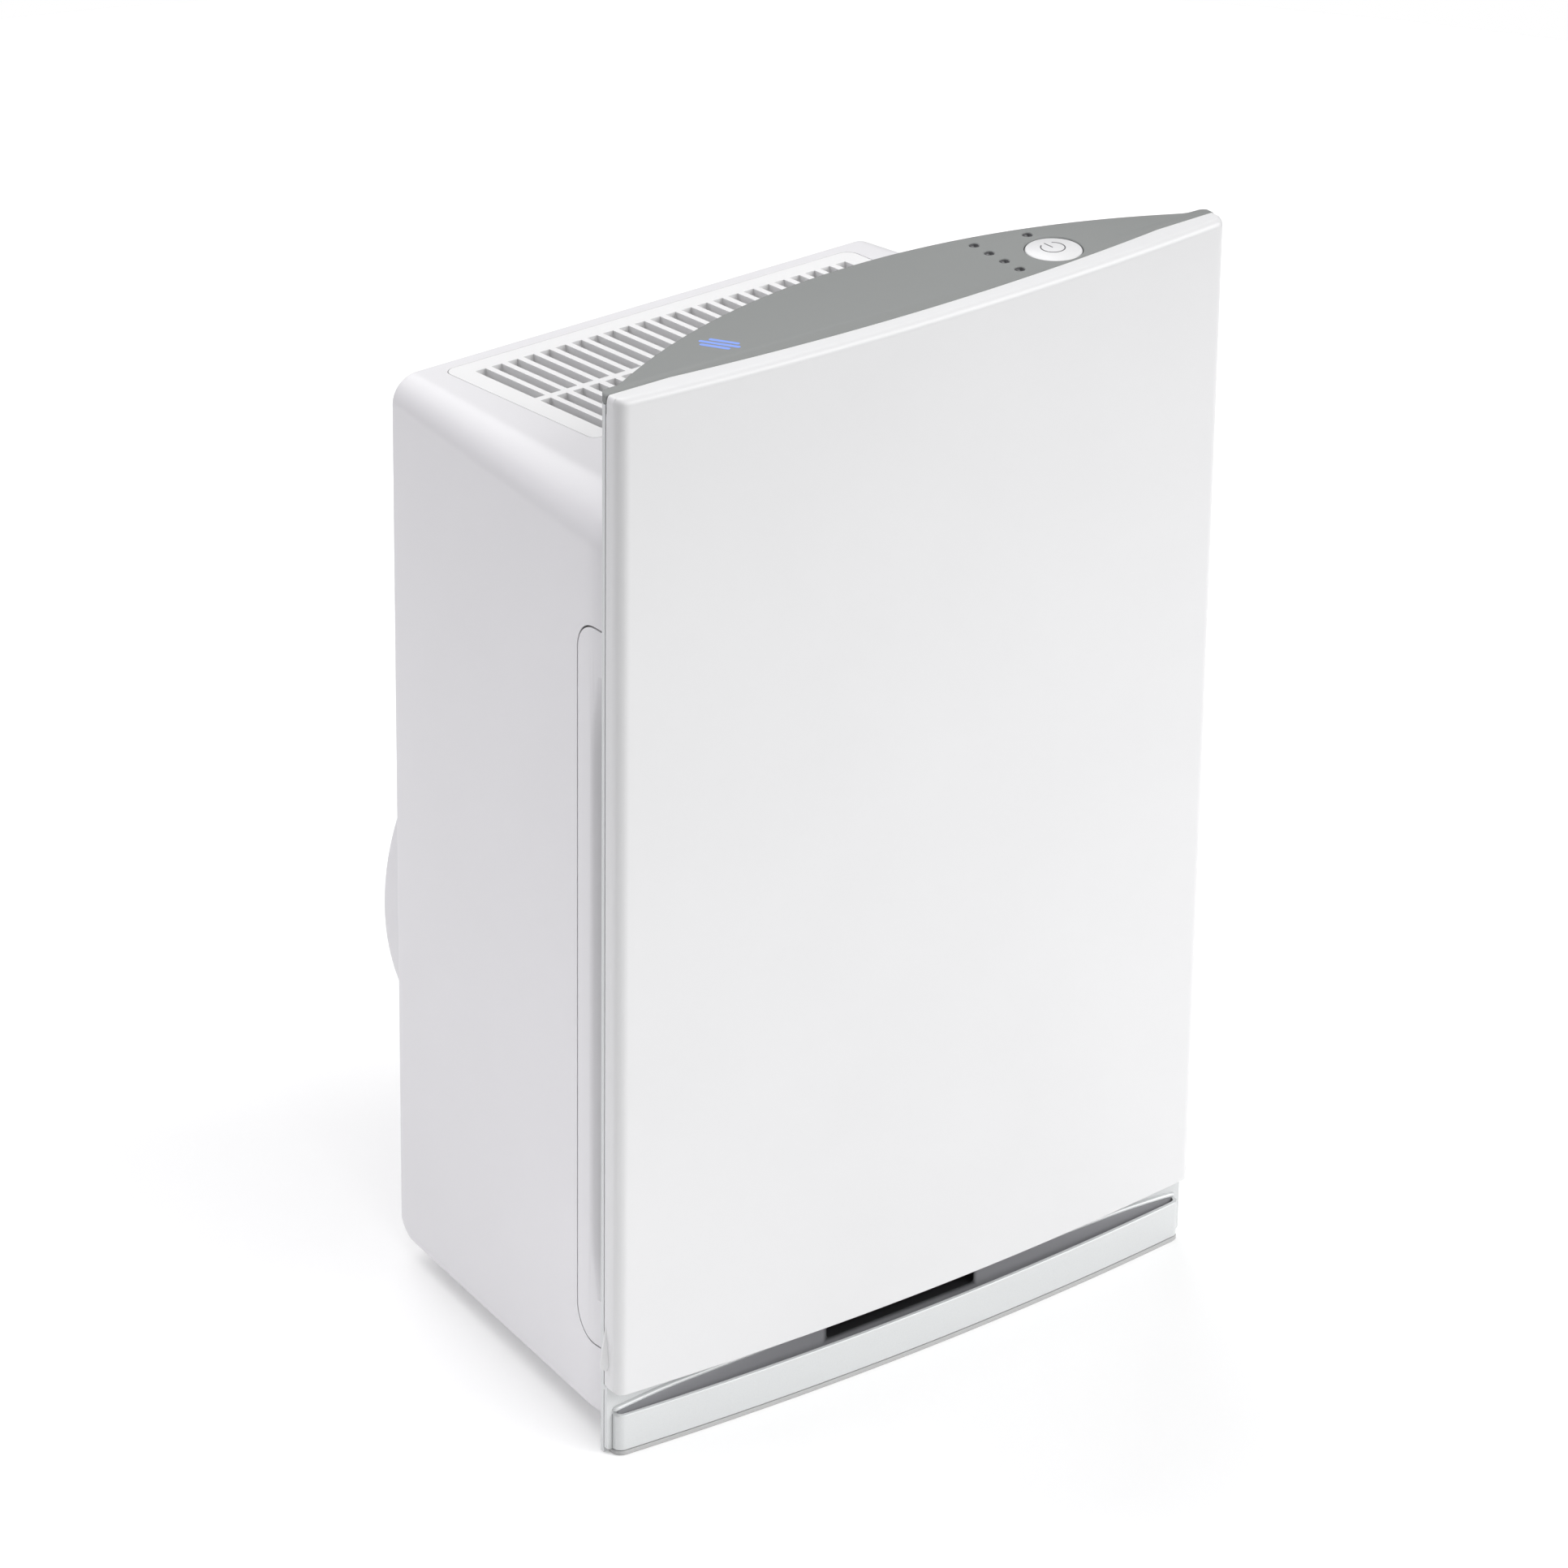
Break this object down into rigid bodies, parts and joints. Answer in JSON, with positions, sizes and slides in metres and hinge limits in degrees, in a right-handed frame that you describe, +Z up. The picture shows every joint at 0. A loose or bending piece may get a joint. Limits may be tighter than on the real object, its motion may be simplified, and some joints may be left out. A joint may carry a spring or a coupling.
{
  "type": "room air cleaner",
  "caption": "Slim upright room air cleaner: bowed lift-off front cover, lens-shaped control deck, top outlet grille, side inlets, stacked filters and a centrifugal fan.",
  "frame": {"origin": "middle of the footprint, on the floor", "axes": "+Z up, +Y from the front cover towards the rear wall, +X to the right seen from the front"},
  "size_m": [0.34, 0.2512, 0.522],
  "materials": {
    "white_gloss": "semi-gloss",
    "white_satin": "satin",
    "silver": "satin metallic paint",
    "deck_grey": "matte",
    "rubber_grey": "matte",
    "lens": "gloss",
    "dark_plastic": "satin",
    "filter_mesh": "woven",
    "carbon": "matte",
    "filter_paper": "matte",
    "zinc_steel": "zinc plated",
    "motor_steel": "satin",
    "circuit_board": "satin",
    "capacitor_can": "satin"
  },
  "bodies": {
    "housing": {"base_bar": "silver", "bearing_front": "zinc_steel", "bearing_rear": "zinc_steel", "button_switch": "dark_plastic", "control_board": "circuit_board", "control_deck": "deck_grey", "control_housing": "white_gloss", "fan_bulkhead": "dark_plastic", "fan_guard": "dark_plastic", "filter_tray": "dark_plastic", "foot_strip": "rubber_grey", "frame_screw_1": "zinc_steel", "frame_screw_2": "zinc_steel", "frame_screw_3": "zinc_steel", "frame_screw_4": "zinc_steel", "front_frame": "silver", "inlet_ring": "dark_plastic", "led_lens_1": "lens", "led_lens_2": "lens", "led_lens_3": "lens", "led_lens_4": "lens", "led_lens_5": "lens", "mains_inlet": "dark_plastic", "motor_body": "motor_steel", "motor_cover": "white_satin", "motor_mount": "zinc_steel", "motor_screw_1": "zinc_steel", "motor_screw_2": "zinc_steel", "motor_screw_3": "zinc_steel", "motor_screw_4": "zinc_steel", "outlet_grille": "white_satin", "power_board": "circuit_board", "rear_case": "white_satin", "rear_foot_left": "rubber_grey", "rear_foot_right": "rubber_grey", "run_capacitor": "capacitor_can", "scroll_housing": "dark_plastic", "side_inlet_left": "white_satin", "side_inlet_right": "white_satin"},
    "cover": {"front_cover": "white_gloss"},
    "pre_filter_body": {"pre_filter": "dark_plastic", "pre_filter_mesh": "filter_mesh"},
    "carbon_body": {"carbon_filter": "carbon"},
    "hepa_body": {"hepa_frame": "filter_paper", "hepa_media": "filter_paper", "hepa_tab_upper": "dark_plastic", "hepa_tab_lower": "dark_plastic"},
    "button": {"power_button": "white_gloss"},
    "fan": {"impeller": "dark_plastic", "hub_nut": "zinc_steel", "motor_shaft": "motor_steel"}
  },
  "joints": [
    {"name": "cover_slide", "type": "slide", "parent": "housing", "child": "cover", "axis": [0, -1, 0], "range_m": [0, 0.3]},
    {"name": "pre_filter_slide", "type": "slide", "parent": "housing", "child": "pre_filter_body", "axis": [0, -1, 0], "range_m": [0, 0.24]},
    {"name": "carbon_slide", "type": "slide", "parent": "housing", "child": "carbon_body", "axis": [0, -1, 0], "range_m": [0, 0.18]},
    {"name": "hepa_slide", "type": "slide", "parent": "housing", "child": "hepa_body", "axis": [0, -1, 0], "range_m": [0, 0.12]},
    {"name": "button_press", "type": "slide", "parent": "housing", "child": "button", "axis": [0, 0, -1], "range_m": [0, 0.0012], "stiffness_N_per_m": 400},
    {"name": "fan_spin", "type": "hinge", "parent": "housing", "child": "fan", "pos_m": [0, 0.05965, 0.166], "axis": [0, 1, 0], "continuous": true}
  ],
  "couplings": [
    {"joint": "pre_filter_slide", "follows": "cover_slide", "ratio": 0.8},
    {"joint": "carbon_slide", "follows": "cover_slide", "ratio": 0.6},
    {"joint": "hepa_slide", "follows": "cover_slide", "ratio": 0.4}
  ]
}
